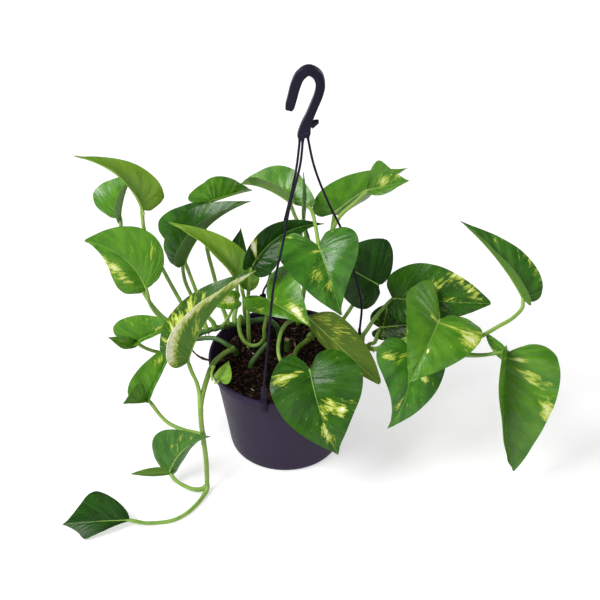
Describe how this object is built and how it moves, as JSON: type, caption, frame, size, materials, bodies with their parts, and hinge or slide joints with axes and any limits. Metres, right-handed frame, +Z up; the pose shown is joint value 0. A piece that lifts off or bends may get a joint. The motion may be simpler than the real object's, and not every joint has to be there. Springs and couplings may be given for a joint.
{
  "type": "potted trailing scindapsus",
  "caption": "Trailing houseplant with heart-shaped variegated leaves and vines that spill over the rim of a tapered round pot, with a rod hanger clipped to the rim and a hook on top.",
  "frame": {"origin": "centre of the pot's flat base, on the surface that it stands on", "axes": "+Z up along the pot's axis; -Y is the side seen from the front; +X to the right as seen from the front, along the plant's greatest spread"},
  "size_m": [0.4715, 0.2696, 0.426],
  "materials": {
    "pot_plastic": "matt, dark aubergine, even",
    "hanger_plastic": "satin, almost black purple",
    "soil": "rough peat with bark fibres",
    "stem": "satin living stem",
    "leaf": "waxy, half gloss, green with yellow and cream streaks",
    "young_leaf": "waxy, light green"
  },
  "bodies": {
    "root": {"pot": "pot_plastic", "soil": "soil", "hanger_hook": "hanger_plastic", "rod_front": "hanger_plastic", "rod_back_left": "hanger_plastic", "rod_right": "hanger_plastic", "vine_trailing": "stem", "vine_middle_left": "stem", "vine_back_left": "stem", "vine_right": "stem", "vine_back_centre": "stem", "stem_cut": "stem", "stem_stub": "stem", "leaf_bud": "young_leaf", "new_leaf": "young_leaf", "shoot": "young_leaf", "leaf_top_left": "leaf", "leaf_far_left": "leaf", "leaf_left": "leaf", "leaf_low_left": "leaf", "leaf_front_left": "leaf", "leaf_lower_left": "leaf", "leaf_trail_upper": "leaf", "leaf_trail_end": "leaf", "leaf_high_left": "leaf", "leaf_back_left": "leaf", "leaf_folded_left": "leaf", "leaf_centre_left": "leaf", "leaf_small_left": "leaf", "leaf_small_back": "leaf", "leaf_back_centre": "leaf", "leaf_centre": "leaf", "leaf_back_top": "leaf", "leaf_back_right": "leaf", "leaf_back_right_small": "leaf", "leaf_right_back": "leaf", "leaf_right": "leaf", "leaf_right_dark": "leaf", "leaf_front_right": "leaf", "leaf_low_right": "leaf", "leaf_far_right": "leaf", "leaf_low_far_right": "leaf", "leaf_front": "leaf", "leaf_underside": "leaf", "leaf_middle": "leaf"}
  },
  "joints": []
}
